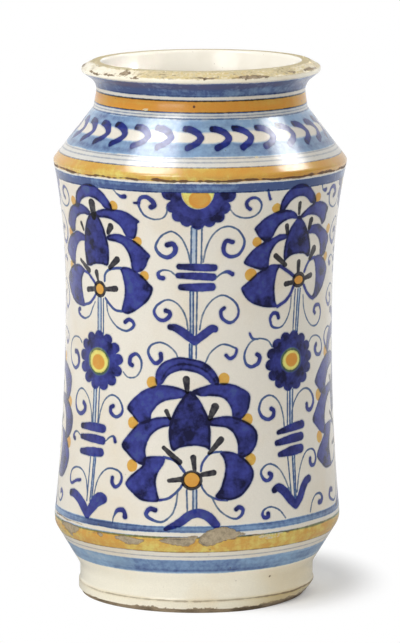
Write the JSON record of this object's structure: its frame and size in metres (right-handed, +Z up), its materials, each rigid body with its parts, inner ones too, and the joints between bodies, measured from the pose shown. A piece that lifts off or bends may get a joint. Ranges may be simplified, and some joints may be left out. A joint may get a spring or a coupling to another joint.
{
  "type": "albarello jar",
  "caption": "Waisted tin-glazed storage jar with ridged shoulder, hollow neck for a tied cover and turned-out lip, painted with blue palmettes and yellow bands.",
  "frame": {"origin": "centre of the foot's underside, on the surface that the jar stands on", "axes": "+Z up along the axis on which the jar was turned; -Y faces the side in the picture, with the low palmette at its middle; +X to the viewer's right"},
  "size_m": [0.1648, 0.1648, 0.3],
  "materials": {
    "bare_clay": "matte",
    "white_lining": "gloss",
    "cream_glaze": "gloss",
    "painted_field": "gloss",
    "blue_band": "gloss",
    "shoulder_wash": "gloss",
    "yellow_band": "gloss",
    "orange_band": "gloss"
  },
  "bodies": {
    "root": {"clay_body": "bare_clay", "inner_glaze": "white_lining", "foot_glaze": "cream_glaze", "flare_blue_band": "blue_band", "lower_ridge_band": "yellow_band", "lower_border": "blue_band", "body_glaze": "painted_field", "upper_border": "blue_band", "upper_ridge_band": "yellow_band", "shoulder_glaze": "shoulder_wash", "neck_orange_band": "orange_band", "neck_blue_band": "blue_band", "lip_glaze": "cream_glaze"}
  },
  "joints": []
}
